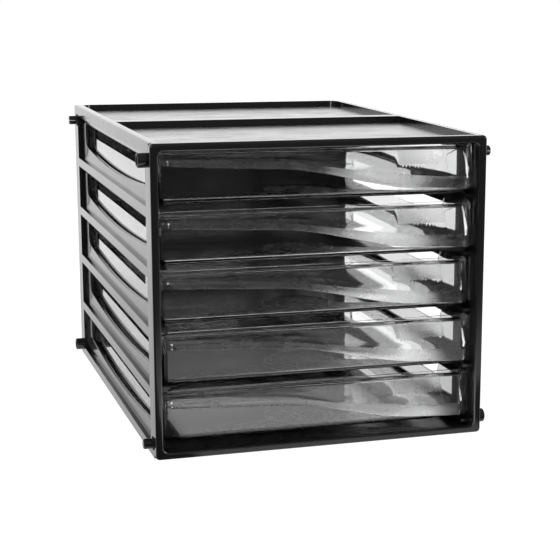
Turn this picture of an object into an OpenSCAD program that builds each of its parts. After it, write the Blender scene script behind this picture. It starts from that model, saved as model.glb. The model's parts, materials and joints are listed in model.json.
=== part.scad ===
// Desk-top tower of five clear drawers in a black moulded cabinet.
// +Z is up, the origin is on the table under the middle of the cabinet, and drawers pull out along -Y.
// The side panels mirror each other, but their sockets and pins trade places, so towers link side by side.

/* [Cabinet] */
// Width across the two side panels
cabinet_w = 260; // [245:1:300]
// Depth from the front frame to the back edge
cabinet_d = 366; // [340:1:420]
// Height of one drawer bay
bay_pitch = 45.1; // [43:0.1:56]
// Height of the base band under the lowest bay
base_band_h = 7.1; // [6:0.1:12]
// Thickness of the side, bottom and back panels
panel_t = 2.4; // [2:0.1:3.2]

/* [Front frame] */
// Depth of the front frame
frame_t = 6.5; // [4:0.1:9]
// Height of the frame's bottom rail
bottom_rail_h = 5; // [4.5:0.1:6.5]
// Gap between the top drawer's rim and the frame's top rail
frame_gap = 0.6; // [0.4:0.1:1.2]
// Radius of the frame's outer corners
frame_outer_r = 3; // [1.5:0.1:3.5]
// Radius of the frame's inner corners
frame_inner_r = 4.5; // [2:0.1:5]
// Depth of the step that eases the frame's front edges
frame_edge = 0.8; // [0.3:0.1:1.5]

/* [Side panels] */
// How far ribs, bands and end strips stand proud of the panel
rib_proud = 3.5; // [2:0.1:4.5]
// Height of the rib between two bays
rib_h = 7.4; // [5:0.1:8.5]
// Height of the band along the top edge
top_band_h = 9; // [8.6:0.1:11]
// Width of the side panel's edge beside the top panel
top_edge_w = 2.7; // [2.2:0.1:3.2]
// Radius of the long top edge
top_edge_r = 1.8; // [0.8:0.1:2]
// Width of the strip at the front edge
front_strip_w = 13; // [12:0.1:18]
// Width of the strip at the back edge
back_strip_w = 18.5; // [18.2:0.1:22]
// Gap between a window and the rib above it
window_drop = 5; // [3:0.1:7]
// Height of the lowest point of a window above the rib below it
window_sill = 6.9; // [6:0.1:10]
// Rise of the curved sill from the middle to its ends
sill_rise = 5.6; // [3:0.1:7]
// Distance from each end of the panel to the windows
window_inset = 35.5; // [30:0.5:50]
// Radius of the window's lower corners
window_corner_r = 8; // [4:0.5:9]
// Radius of the window's upper corners
window_top_r = 2; // [1:0.5:4]
// How far the panel leans inwards below a window
sill_lean = 1.3; // [0.5:0.1:1.6]
// How far the leaning stretch runs past the window's ends
sill_margin = 10; // [4:0.5:11]

/* [Drawer runners] */
// Width of a drawer's edge that rests on its ledge
ledge_bearing = 4.4; // [3:0.1:6]
// Thickness of the ledge
ledge_t = 2.2; // [1.6:0.1:2.6]
// Gap between a ledge's ends and the frame and back panel
ledge_end_gap = 2; // [0.5:0.5:6]
// Height of a drawer's underside above the top of its rib
drawer_lift = 2; // [1.6:0.1:2.4]
// Running clearance under a drawer
run_gap = 0.3; // [0.2:0.05:0.5]

/* [Link connectors] */
// Outer diameter of a link socket
socket_d = 10.7; // [10:0.1:12]
// Bore of a link socket
socket_bore_d = 8.2; // [7.6:0.1:8.6]
// Depth of the socket bore
socket_depth = 8; // [6:0.1:9]
// How far sockets and pins stand out
link_out = 7.3; // [4:0.1:7.6]
// Chamfer at the mouth of a socket and the tip of a pin
link_chamfer = 0.7; // [0.3:0.1:1]
// Difference between the socket bore and the pin
link_play = 0.3; // [0.2:0.1:0.6]
// Width of the slot that splits a pin
pin_slot_w = 1.6; // [1:0.1:2.2]
// Diameter of the collar at the root of a pin
collar_d = 11; // [10:0.1:12]
// Thickness of the collar
collar_t = 0.8; // [0.5:0.1:1.2]
// Diameter of the pin's root inside the panel
root_d = 6; // [5:0.1:6.5]
// Length of the pin's root inside the panel
root_len = 4; // [3:0.1:4.5]
// Clearance around the pin's root
root_gap = 0.1; // [0.05:0.05:0.2]
// Distance of the connectors from the front and back planes
link_inset_y = 13; // [12.6:0.1:14]
// Height of the lower connectors above the table
link_low_z = 10; // [9:0.1:15]
// Distance of the upper connectors from the top plane
link_top_inset = 13; // [12:0.1:15]

/* [Top and back] */
// Thickness of the top panel in its recess
roof_t = 1.8; // [1.2:0.1:2.4]
// Gap between the top drawer's rim and the top panel
roof_gap = 0.4; // [0.3:0.1:1]
// Depth of the recess in the top
recess_deep = 4.4; // [3:0.1:6]
// Width of the raised rim around the recess
rim_w = 4; // [3:0.1:6]
// Radius of the recess's back corners
recess_r = 9; // [4:0.5:14]
// Gap between the top panel and the side panels' top edge
seam_gap = 0.2; // [0.1:0.05:0.3]
// Width of the raised bar across the top
bar_w = 13; // [8:0.5:20]
// Height of the bottom panel's top face above the table
floor_z = 4.5; // [4:0.1:4.5]
// Distance of the back panel from the back plane
back_inset = 4; // [2:0.1:8]
// Margin around the pressed field in the back panel
back_margin = 14; // [8:1:30]
// Depth of the pressed field in the back panel
back_field_deep = 0.8; // [0.4:0.1:1.2]

/* [Drawers] */
// Clearance between a drawer's side and the side panel
drawer_gap = 2.6; // [2.4:0.1:5]
// Gap between a drawer's rim and the bay above
drawer_headroom = 6.2; // [5:0.1:9]
// Wall thickness of the drawer
drawer_wall = 2; // [1.6:0.1:2.4]
// Height of the low side walls
side_h = 20.4; // [15:0.1:30]
// Drop from the front rim to the tall ends of the side walls
tall_drop = 1.9; // [1:0.1:4]
// Set-back of the drawer's front wall from the front plane
front_wall_back = 13.7; // [12.5:0.1:18]
// Gap between a drawer's back and the back panel
back_gap = 18; // [12:0.5:30]
// Radius of the drawer's upright corners
drawer_corner_r = 9; // [6:0.5:14]
// Length of the tall part of a side wall at the front
tall_front = 52; // [40:0.5:80]
// Length of the tall part of a side wall at the back
tall_back = 42; // [30:0.5:60]
// Radius that rounds off the tall part
tall_r = 12; // [5:0.5:13]
// Fillet where the tall part meets the low wall
drop_r = 3; // [1:0.5:4]
// Diameter of the ring raised on the drawer floor
disc_d = 53; // [30:1:70]
// Distance of the ring's middle from the drawer's front wall
disc_from_front = 40; // [36:1:80]
// Distance of the ring's middle from the drawer's middle, to the left
disc_to_left = 5; // [0:1:20]
// Width of the raised lines of the ring and label frame
line_w = 0.9; // [0.6:0.1:1.4]

/* [Drawer lip] */
// Set-back of the lip's band from the front plane
lip_back = 1.5; // [0.8:0.1:3]
// Clearance between the lip and the side panel
lip_gap = 1.6; // [1.2:0.1:3]
// Wall thickness of the lip
lip_t = 1.8; // [1.4:0.1:2.2]
// Radius of the lip's ends, seen from above
lip_corner_r = 10; // [4:0.5:11]
// Drop from the drawer's rim to the lip's top
lip_drop = 1.3; // [0.8:0.1:2.5]
// Depth of the ledge on top of the lip
shoulder_w = 3.4; // [2:0.1:6]
// Fall of that ledge towards the front
shoulder_fall = 0.9; // [0.4:0.1:1.6]
// Drop from the rim to the lip's lower edge at the left end
lip_left_drop = 10.3; // [9:0.1:12]
// Even fall of the lower edge from end to end
lip_even_fall = 11.7; // [8:0.1:13]
// Fall of the lower edge in its S curve
lip_curve_fall = 12.6; // [6:0.1:13.5]
// Where that curve starts, left of the middle
lip_curve_left = 31; // [10:1:60]
// Width of that curve
lip_curve_w = 106; // [80:1:140]
// Drop from the rim to the crease at the left end
crease_left_drop = 5; // [4.5:0.1:6]
// Even fall of the crease from end to end
crease_even_fall = 6.5; // [4:0.1:7.5]
// Fall of the crease in its S curve
crease_curve_fall = 12.3; // [6:0.1:13]
// Where that curve starts, left of the middle
crease_curve_left = 49; // [30:1:70]
// Width of that curve
crease_curve_w = 146; // [110:1:160]
// Width of the label frame
label_w = 39; // [30:1:45]
// Height of the label frame
label_h = 12.5; // [8:0.5:14]
// Distance of the label frame's left end from the middle
label_from_middle = 60; // [50:1:65]

/* [Hidden] */
$fn = 64;

bays = 5;
// How much deeper than the others each loose drawer sits, top drawer first
rest_set_back = [0, 0, 5.5, 1, 3.5];
// How far each loose drawer has shifted to the right in its bay, top drawer first
rest_shift = [0, 0, -0.3, 0.8, 0.4];
// Overshoot of a cut through a face
cut = 1;
black = "#1b1b1c";
clear = [0.8, 0.82, 0.84, 0.45];

// Height of the top of the rib under bay k, counted from the top
function rib_top(k) = base_band_h + bay_pitch * (bays - k);
function drawer_floor_z(k) = rib_top(k) + drawer_lift;
function smooth(t) = t <= 0 ? 0 : t >= 1 ? 1 : t * t * (3 - 2 * t);

drawer_h = bay_pitch - drawer_headroom;
top_rim_z = drawer_floor_z(1) + drawer_h;
roof_under_z = top_rim_z + roof_gap;
recess_z = roof_under_z + roof_t;
cabinet_h = recess_z + recess_deep;

front_y = -cabinet_d / 2;
back_y = cabinet_d / 2;
panel_front_y = front_y + frame_t;
panel_len = cabinet_d - frame_t;
back_panel_y = back_y - back_inset - panel_t;
inner_len = back_panel_y - panel_front_y;

side_x = cabinet_w / 2;
plate_out_x = side_x - rib_proud;
plate_in_x = plate_out_x - panel_t;
post_w = rib_proud + panel_t;

// Rectangle with rounded corners, its lower left corner at the origin
module round_rect(w, h, r) {
    translate([r, 0]) square([w - 2 * r, h]);
    translate([0, r]) square([w, h - 2 * r]);
    for (x = [r, w - r], y = [r, h - r]) translate([x, y]) circle(r);
}

// ---- Front frame ----
frame_open_h = top_rim_z + frame_gap - bottom_rail_h;

// Outline of the frame in the x-z plane, with its opening, its edges moved into the plastic by ease
module frame_outline(ease) {
    difference() {
        translate([ease - side_x, ease])
            round_rect(cabinet_w - 2 * ease, cabinet_h - 2 * ease, frame_outer_r);
        translate([-plate_in_x - ease, bottom_rail_h - ease])
            round_rect(2 * (plate_in_x + ease), frame_open_h + 2 * ease, frame_inner_r);
    }
}

module front_frame() {
    color(black) {
        translate([0, panel_front_y, 0]) rotate([90, 0, 0])
            linear_extrude(frame_t - frame_edge) frame_outline(0);
        translate([0, front_y + frame_edge, 0]) rotate([90, 0, 0])
            linear_extrude(frame_edge) frame_outline(frame_edge / 2);
    }
}

// ---- Top panel ----
top_w = 2 * (side_x - top_edge_w - seam_gap);

// Plan of the recess: square corners at the front, round ones at the back
module recess_plan() {
    w = top_w - 2 * rim_w;
    d = panel_len - rim_w;
    square([w, d - recess_r]);
    translate([recess_r, 0]) square([w - 2 * recess_r, d]);
    for (x = [recess_r, w - recess_r]) translate([x, d - recess_r]) circle(recess_r);
}

module top_panel() {
    bar_y = panel_front_y + (panel_len - bar_w) / 2;
    hollow_w = top_w - 4 * rim_w;
    color(black)
    difference() {
        translate([-top_w / 2, panel_front_y, roof_under_z])
            cube([top_w, panel_len, cabinet_h - roof_under_z]);
        difference() {
            translate([rim_w - top_w / 2, panel_front_y, recess_z])
                linear_extrude(recess_deep + cut) recess_plan();
            translate([-top_w / 2, bar_y, recess_z - cut]) cube([top_w, bar_w, recess_deep + 2 * cut]);
        }
        translate([-hollow_w / 2, bar_y + roof_t, roof_under_z - cut])
            cube([hollow_w, bar_w - 2 * roof_t, cut + recess_deep]);
    }
}

// ---- Bottom and back panels ----
module bottom_panel() {
    color(black)
    translate([-plate_in_x, panel_front_y, floor_z - panel_t]) cube([2 * plate_in_x, inner_len, panel_t]);
}

module back_panel() {
    low_z = floor_z - panel_t;
    h = roof_under_z - low_z;
    color(black)
    difference() {
        translate([-plate_in_x, back_panel_y, low_z]) cube([2 * plate_in_x, panel_t, h]);
        translate([back_margin - plate_in_x, back_panel_y + panel_t + cut, low_z + back_margin])
            rotate([90, 0, 0]) linear_extrude(back_field_deep + cut)
                round_rect(2 * (plate_in_x - back_margin), h - 2 * back_margin, recess_r);
    }
}

// ---- Side panels ----
window_len = panel_len - 2 * window_inset;
window_top = bay_pitch - rib_h - window_drop;
sill_r = (window_len * window_len / 4 + sill_rise * sill_rise) / (2 * sill_rise);
corner_from_mid = window_len / 2 - window_corner_r;
sill_end_z = window_sill + sill_r - sqrt(sill_r * sill_r - corner_from_mid * corner_from_mid);
// The long sill arc is a small part of a very large circle
sill_fn = 1200;
lean_top = sill_end_z + sill_lean;
lean_len = window_len + 2 * sill_margin;

// Outline of one window, x along the panel from its front edge, y up from the rib top below it
module window_outline() {
    corners = [window_inset + window_corner_r, panel_len - window_inset - window_corner_r];
    top_corners = [window_inset + window_top_r, panel_len - window_inset - window_top_r];
    low = sill_end_z + window_corner_r;
    intersection() {
        translate([corners[0], 0]) square([corners[1] - corners[0], window_top]);
        translate([panel_len / 2, window_sill + sill_r]) circle(sill_r, $fn = sill_fn);
    }
    translate([window_inset, low]) square([window_len, window_top - window_top_r - low]);
    for (x = corners) translate([x, low]) circle(window_corner_r);
    translate([top_corners[0], low]) square([top_corners[1] - top_corners[0], window_top - low]);
    for (x = top_corners) translate([x, window_top - window_top_r]) circle(window_top_r);
}

// Runs a section along the leaning stretch of bay k, x inwards from the plate's outer face
module along_window(k) {
    translate([-plate_out_x, window_inset - sill_margin + lean_len, rib_top(k)])
        rotate([90, 0, 0]) linear_extrude(lean_len) children();
}

// Section of the leaning stretch below a window
module lean_section() {
    polygon([[0, -cut / 2], [sill_lean, lean_top], [0, lean_top + panel_t], [panel_t, lean_top + panel_t],
        [panel_t + sill_lean, lean_top], [panel_t, -cut / 2]]);
}

// Section of the hollow that the leaning stretch leaves on the outside
module lean_hollow() {
    back_out = lean_top + panel_t;
    polygon([[-cut, 0], [0, 0], [sill_lean, lean_top], [0, back_out], [-cut, back_out]]);
}

// Section of the top band with its rounded long edge
module top_band_section() {
    low = cabinet_h - top_band_h;
    translate([-side_x, low]) square([top_edge_w, top_band_h - top_edge_r]);
    translate([top_edge_r - side_x, low]) square([top_edge_w - top_edge_r, top_band_h]);
    intersection() {
        translate([top_edge_r - side_x, cabinet_h - top_edge_r]) circle(top_edge_r);
        translate([-side_x, low]) square([top_edge_w, top_band_h]);
    }
    translate([-side_x, low]) square([post_w, roof_under_z - low]);
}

module link_socket() {
    rotate([0, -90, 0]) {
        cylinder(d = socket_d, h = link_out - link_chamfer);
        translate([0, 0, link_out - link_chamfer])
            cylinder(d1 = socket_d, d2 = socket_d - 2 * link_chamfer, h = link_chamfer);
    }
}

// The left panel, y along it from its front edge; sockets and roots are lists of [y, z]
module side_moulding(sockets, roots) {
    strip_h = cabinet_h - top_band_h + cut;
    ledge_w = drawer_gap + ledge_bearing;
    difference() {
        union() {
            translate([-plate_out_x, 0, 0]) cube([panel_t, panel_len, roof_under_z]);
            translate([-side_x, 0, 0]) cube([rib_proud, panel_len, base_band_h]);
            for (k = [1:bays - 1])
                translate([-side_x, 0, rib_top(k) - rib_h]) cube([rib_proud, panel_len, rib_h]);
            translate([-side_x, 0, 0]) cube([rib_proud, front_strip_w, strip_h]);
            translate([-side_x, panel_len - back_strip_w, 0]) cube([rib_proud, back_strip_w, strip_h]);
            translate([0, panel_len, 0]) rotate([90, 0, 0]) linear_extrude(panel_len) top_band_section();
            for (k = [1:bays]) along_window(k) lean_section();
        }
        for (k = [1:bays]) along_window(k) lean_hollow();
        for (k = [1:bays])
            translate([-side_x - cut, 0, rib_top(k)])
                rotate([90, 0, 90]) linear_extrude(post_w + sill_lean + 2 * cut) window_outline();
        for (p = sockets)
            translate([-side_x - cut, p[0], p[1]]) rotate([0, 90, 0])
                cylinder(d = socket_bore_d, h = socket_depth - link_out + cut);
        for (p = roots)
            translate([-side_x - cut, p[0], p[1]]) rotate([0, 90, 0])
                cylinder(d = root_d + 2 * root_gap, h = root_len + cut);
    }
    for (k = [1:bays])
        translate([-plate_in_x - panel_t / 2, ledge_end_gap, drawer_floor_z(k) - run_gap - ledge_t])
            cube([ledge_w + panel_t / 2, inner_len - 2 * ledge_end_gap, ledge_t]);
    for (p = sockets)
        translate([-side_x, p[0], p[1]]) difference() {
            link_socket();
            translate([cut, 0, 0]) rotate([0, -90, 0]) cylinder(d = socket_bore_d, h = link_out + 2 * cut);
        }
}

link_front_y = link_inset_y - frame_t;
link_back_y = panel_len - link_inset_y;
link_high_z = cabinet_h - link_top_inset;
// The corners at front top and back bottom, and the other two
rising_corners = [[link_front_y, link_high_z], [link_back_y, link_low_z]];
falling_corners = [[link_front_y, link_low_z], [link_back_y, link_high_z]];

module left_side_panel() {
    color(black) translate([0, panel_front_y, 0]) side_moulding(rising_corners, falling_corners);
}

module right_side_panel() {
    color(black) mirror([1, 0, 0]) translate([0, panel_front_y, 0])
        side_moulding(falling_corners, rising_corners);
}

// ---- Link pins ----
// A split pin along -X, its collar on the side panel's strip and its root in the strip's hole
module link_pin(p) {
    pin_d = socket_bore_d - link_play;
    color(black)
    translate([-side_x, panel_front_y + p[0], p[1]]) difference() {
        rotate([0, -90, 0]) {
            translate([0, 0, -root_len]) cylinder(d = root_d, h = root_len);
            cylinder(d = collar_d, h = collar_t);
            cylinder(d = pin_d, h = link_out - link_chamfer);
            translate([0, 0, link_out - link_chamfer])
                cylinder(d1 = pin_d, d2 = pin_d - 2 * link_chamfer, h = link_chamfer);
        }
        translate([-link_out - cut, -collar_d / 2, -pin_slot_w / 2])
            cube([link_out - collar_t + cut, collar_d, pin_slot_w]);
    }
}

module left_front_link_pin() link_pin(falling_corners[0]);
module left_back_link_pin() link_pin(falling_corners[1]);
module right_front_link_pin() mirror([1, 0, 0]) link_pin(rising_corners[0]);
module right_back_link_pin() mirror([1, 0, 0]) link_pin(rising_corners[1]);

// ---- Drawers ----
drawer_half_w = plate_in_x - drawer_gap;
drawer_front_y = front_y + front_wall_back;
drawer_len = back_panel_y - back_gap - drawer_front_y;
lip_half_w = plate_in_x - lip_gap;
lip_out = front_wall_back - lip_back;

// Heights under the drawer's rim of the lip's lower edge and crease: an even fall and a flat S curve
function even(x) = (x + lip_half_w) / (2 * lip_half_w);
function lip_low(x) = -lip_left_drop - lip_even_fall * even(x)
    - lip_curve_fall * smooth((x + lip_curve_left) / lip_curve_w);
function crease(x) = -crease_left_drop - crease_even_fall * even(x)
    - crease_curve_fall * smooth((x + crease_curve_left) / crease_curve_w);

// Places of the slices along the lip, closer together in its rounded ends
end_steps = 6;
lip_steps = 22;
function lip_places(half, r) = concat(
    [for (i = [0:end_steps]) -half + r * (1 - cos(90 * i / end_steps))],
    [for (i = [1:lip_steps - 1]) -half + r + 2 * (half - r) * i / lip_steps],
    [for (i = [end_steps:-1:0]) half - r * (1 - cos(90 * i / end_steps))]);
// Overhang of the lip at x, rounded off at its ends
least_out = 0.5;
function overhang(x, out, half, r) =
    let (d = max(0, abs(x) - half + r) / r) max(least_out, out * sqrt(max(0, 1 - d * d)));

// One slice of the lip as points [y, z] from the front wall's outer face and its rim
wall_bite = 0.6;
shoulder_share = shoulder_w / lip_out;
function outer_slice(x, out) = [
    [wall_bite, -lip_drop],
    [-shoulder_share * out, -lip_drop - shoulder_fall * out / lip_out],
    [-out, crease(x)],
    [-out, lip_low(x)],
    [wall_bite, lip_low(x)]];
function inner_slice(x, out) = [
    [0, -lip_drop - lip_t],
    [-shoulder_share * out, -lip_drop - lip_t - shoulder_fall * out / lip_out],
    [-out, crease(x) - lip_t / 4],
    [-out, lip_low(x) - cut],
    [0, lip_low(x) - cut]];

// Solid through slices of five points each
module loft(places, slices) {
    n = 5;
    last = len(places) - 1;
    points = [for (i = [0:last], p = slices[i]) [places[i], p[0], p[1]]];
    near_halves = [for (i = [0:last - 1], j = [0:n - 1])
        [(i + 1) * n + j, (i + 1) * n + (j + 1) % n, i * n + (j + 1) % n]];
    far_halves = [for (i = [0:last - 1], j = [0:n - 1])
        [(i + 1) * n + j, i * n + (j + 1) % n, i * n + j]];
    ends = [[for (j = [0:n - 1]) j], [for (j = [n - 1:-1:0]) last * n + j]];
    polyhedron(points, concat(near_halves, far_halves, ends));
}

module lip() {
    inner_half = lip_half_w - lip_t;
    inner_r = lip_corner_r - lip_t;
    inner_out = lip_out - lip_t;
    outer = lip_places(lip_half_w, lip_corner_r);
    inner = lip_places(inner_half, inner_r);
    difference() {
        loft(outer, [for (x = outer) outer_slice(x, overhang(x, lip_out, lip_half_w, lip_corner_r))]);
        loft(inner, [for (x = inner) inner_slice(x, overhang(x, inner_out, inner_half, inner_r))]);
    }
}

// Side view of what is left open above one tall end of a side wall, which ends at x = 0
module tall_end_cut(length) {
    tall_h = drawer_h - tall_drop;
    translate([drawer_corner_r - length, tall_h]) square([length - drawer_corner_r + cut, tall_drop + cut]);
    difference() {
        translate([-tall_r, tall_h - tall_r]) square([tall_r + cut / 2, tall_r + cut]);
        translate([-tall_r, tall_h - tall_r]) circle(tall_r);
    }
}

// Side view of what is cut away above the low side walls, x from the drawer's front face
module side_cut() {
    low_len = drawer_len - tall_front - tall_back;
    difference() {
        translate([tall_front, side_h]) square([low_len, drawer_h - side_h + cut]);
        for (x = [tall_front, tall_front + low_len - drop_r])
            translate([x, side_h]) difference() {
                square(drop_r);
                translate([x == tall_front ? drop_r : 0, drop_r]) circle(drop_r);
            }
    }
    translate([tall_front, 0]) tall_end_cut(tall_front);
    translate([tall_front + low_len, 0]) mirror([1, 0]) tall_end_cut(tall_back);
}

module drawer_body() {
    inner_w = 2 * (drawer_half_w - drawer_wall);
    difference() {
        translate([-drawer_half_w, 0, 0]) linear_extrude(drawer_h)
            round_rect(2 * drawer_half_w, drawer_len, drawer_corner_r);
        translate([-inner_w / 2, drawer_wall, drawer_wall]) linear_extrude(drawer_h)
            round_rect(inner_w, drawer_len - 2 * drawer_wall, drawer_corner_r - drawer_wall);
        translate([-drawer_half_w - cut, 0, 0]) rotate([90, 0, 90])
            linear_extrude(2 * (drawer_half_w + cut)) side_cut();
    }
}

// Ring raised on the drawer floor by half a line's width
module floor_ring() {
    translate([-disc_to_left, disc_from_front, drawer_wall / 2]) difference() {
        cylinder(d = disc_d, h = (drawer_wall + line_w) / 2);
        translate([0, 0, -cut]) cylinder(d = disc_d - 2 * line_w, h = drawer_wall + line_w + cut);
    }
}

// Raised outline on the slope of the lip's right half, where a label goes
module label_frame() {
    slope_w = lip_out - shoulder_w;
    slope_h = -crease(label_from_middle + label_w / 2) - lip_drop - shoulder_fall;
    lean = atan2(slope_w, slope_h);
    start = (lip_t - line_w) / 2;
    translate([label_from_middle, -shoulder_w, -lip_drop - shoulder_fall]) rotate([-lean, 0, 0])
        translate([0, -line_w / 2, -label_h - start]) difference() {
            cube([label_w, line_w, label_h]);
            translate([line_w, -cut, line_w])
                cube([label_w - 2 * line_w, line_w + 2 * cut, label_h - 2 * line_w]);
        }
}

// The clear drawer of bay k
module drawer(k) {
    color(clear)
    translate([rest_shift[k - 1], drawer_front_y + rest_set_back[k - 1], drawer_floor_z(k)]) {
        drawer_body();
        floor_ring();
        translate([0, 0, drawer_h]) lip();
        translate([0, 0, drawer_h]) label_frame();
    }
}
module drawer_1() drawer(1);
module drawer_2() drawer(2);
module drawer_3() drawer(3);
module drawer_4() drawer(4);
module drawer_5() drawer(5);

front_frame();
top_panel();
bottom_panel();
back_panel();
left_side_panel();
right_side_panel();
left_front_link_pin();
left_back_link_pin();
right_front_link_pin();
right_back_link_pin();
drawer_1();
drawer_2();
drawer_3();
drawer_4();
drawer_5();
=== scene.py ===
# Looks of the desk-top drawer tower: a black moulded cabinet with five clear drawers.
# Lengths are metres, the front faces -Y, and every piece is modelled where the frame has its CAD node.
import json
from math import cos, pi, radians, sin, sqrt

import bmesh
import bpy
from mathutils import Matrix, Vector


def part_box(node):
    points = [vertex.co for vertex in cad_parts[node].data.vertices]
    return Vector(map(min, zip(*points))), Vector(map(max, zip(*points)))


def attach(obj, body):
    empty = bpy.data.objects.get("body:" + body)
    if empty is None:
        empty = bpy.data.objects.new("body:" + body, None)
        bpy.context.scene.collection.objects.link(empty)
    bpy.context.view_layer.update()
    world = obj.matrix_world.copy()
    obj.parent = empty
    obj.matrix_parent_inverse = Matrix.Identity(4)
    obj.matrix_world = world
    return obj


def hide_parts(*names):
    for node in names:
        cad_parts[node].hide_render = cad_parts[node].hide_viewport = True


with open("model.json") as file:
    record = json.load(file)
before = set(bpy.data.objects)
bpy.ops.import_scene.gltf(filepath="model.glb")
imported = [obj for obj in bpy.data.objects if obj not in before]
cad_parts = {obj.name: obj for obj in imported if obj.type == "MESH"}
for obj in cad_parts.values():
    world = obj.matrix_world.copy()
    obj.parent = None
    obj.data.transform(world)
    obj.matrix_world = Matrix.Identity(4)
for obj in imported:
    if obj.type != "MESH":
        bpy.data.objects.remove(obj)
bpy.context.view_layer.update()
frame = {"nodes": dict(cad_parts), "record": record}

bl_info = {
    "name": "Drawer tower",
    "version": (1, 0, 0),
    "blender": (4, 5, 0),
    "location": "3D View > Sidebar > Drawer tower",
    "description": "Finishes the pieces of a desk-top tower of clear drawers",
    "category": "Object",
}

MM = 0.001
LINK_PINS = ("left_front_link_pin", "left_back_link_pin", "right_front_link_pin",
             "right_back_link_pin")
DRAWERS = ("drawer_1", "drawer_2", "drawer_3", "drawer_4", "drawer_5")
BODIES = frame["record"]["behaviour"]["bodies"]
BODY_OF = {node: body for body, nodes in BODIES.items() for node in nodes}


# ---------------------------------------------------------------- sizes and colours that a user changes

def length(label, about, millimetres):
    return bpy.props.FloatProperty(name=label, description=about, default=millimetres * MM, unit="LENGTH")


def share(label, about, value):
    return bpy.props.FloatProperty(name=label, description=about, default=value, min=0, max=1,
                                   subtype="FACTOR")


def colour(label, about, value):
    return bpy.props.FloatVectorProperty(name=label, description=about, default=value, size=3, min=0, max=1,
                                         subtype="COLOR")


class CabinetLook(bpy.types.PropertyGroup):
    """Sizes and finish of the black cabinet"""
    edge: length("Edge radius", "Radius of the panels' moulded edges", 0.35)
    frame_edge: length("Frame edge radius", "Radius of the front frame's front edges", 1.4)
    frame_round: length("Frame corner radius", "Radius of the front frame's outer corners", 3)
    opening_round: length("Opening corner radius", "Radius of the opening's corners", 4.5)
    rail: length("Rail", "Height of the front frame's lower rail", 5)
    plate: length("Plate", "Thickness of the side panels", 2.4)
    proud: length("Rib depth", "How far ribs, bands and strips stand proud of the side panels", 3.5)
    rib: length("Rib height", "Height of the rib between two bays", 7.4)
    base: length("Base band", "Height of the band at the foot", 7.1)
    pitch: length("Bay pitch", "Height from one bay to the next", 45.1)
    top_band: length("Top band", "Height of the band along the top", 9)
    top_edge: length("Top edge", "Width of the side panel's top edge", 2.7)
    top_round: length("Top edge radius", "Radius of the top band's long edge", 1.8)
    front_strip: length("Front strip", "Width of the strip at the side panel's front edge", 13)
    back_strip: length("Back strip", "Width of the strip at the side panel's back edge", 18.5)
    window_edge: length("Window edge radius", "Radius of the windows' outer edges", 0.8)
    window_end: length("Window end", "Distance from the panel's ends to the windows", 35.5)
    window_top: length("Window top", "Height of the windows' upper edge above the rib below", 32.7)
    sill: length("Sill", "Height of a sill's lowest point above the rib below", 6.9)
    sill_rise: length("Sill rise", "Rise of the curved sill to its ends", 5.6)
    window_corner: length("Back corner radius", "Radius of the windows' lower back corners", 8)
    window_round: length("Corner radius", "Radius of the windows' other corners", 2)
    dish: length("Dish", "How far the panel is dished inwards round a window", 1.3)
    dish_past: length("Dish past the window", "How far the full dish runs on past the window's ends", 6)
    ledge: length("Ledge", "How far the drawer ledges stand into the cabinet", 7)
    ledge_gap: length("Ledge gap", "Gap between a ledge and the drawer on it", 0.3)
    ledge_front: length("Ledge start", "Distance of the ledges from the front frame", 2)
    ledge_height: length("Ledge height", "Thickness of the drawer ledges", 2.2)
    socket: length("Socket", "Diameter of the link sockets", 10.7)
    bore: length("Socket bore", "Diameter of the sockets' bores", 8.2)
    socket_out: length("Socket length", "How far the link sockets stand out", 7.3)
    bore_deep: length("Bore depth", "Depth of the sockets' bores from their outer end", 8)
    socket_chamfer: length("Socket chamfer", "Chamfer round a socket's end", 0.7)
    root: length("Root hole", "Diameter of the holes that hold the link pins", 6.3)
    root_deep: length("Root hole depth", "Depth of the holes that hold the link pins", 4.5)
    pin: length("Pin", "Diameter of the link pins", 7.9)
    pin_root: length("Pin root", "Diameter of a link pin's root", 6)
    pin_chamfer: length("Pin chamfer", "Chamfer round a link pin's tip", 0.8)
    collar: length("Collar", "Diameter of a link pin's collar", 11)
    collar_height: length("Collar height", "Thickness of a link pin's collar", 0.8)
    slot: length("Slot", "Width of a link pin's slot", 0.4)
    back_round: length("Back edge radius", "Radius of the side panel's upright back edge", 2.4)
    recess: length("Recess", "Depth of the top panel's recesses", 4.4)
    recess_round: length("Recess radius", "Radius of the recess's back corners", 9)
    field_margin: length("Field margin", "Distance from the back panel's edges to its pressed field", 14)
    field_depth: length("Field depth", "Depth of the back panel's pressed field", 0.8)
    black: colour("Black", "Colour of the cabinet's plastic", (0.0095, 0.0095, 0.01))
    gloss: share("Roughness", "Roughness of the cabinet's plastic", 0.13)
    grain: share("Grain", "Roughness of the top's floors", 0.17)
    matt: share("Panel roughness", "Roughness of the dished parts of the side panels", 0.42)
    peel: length("Orange peel", "Height of the fine unevenness of the moulded surface", 0.001)


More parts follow.
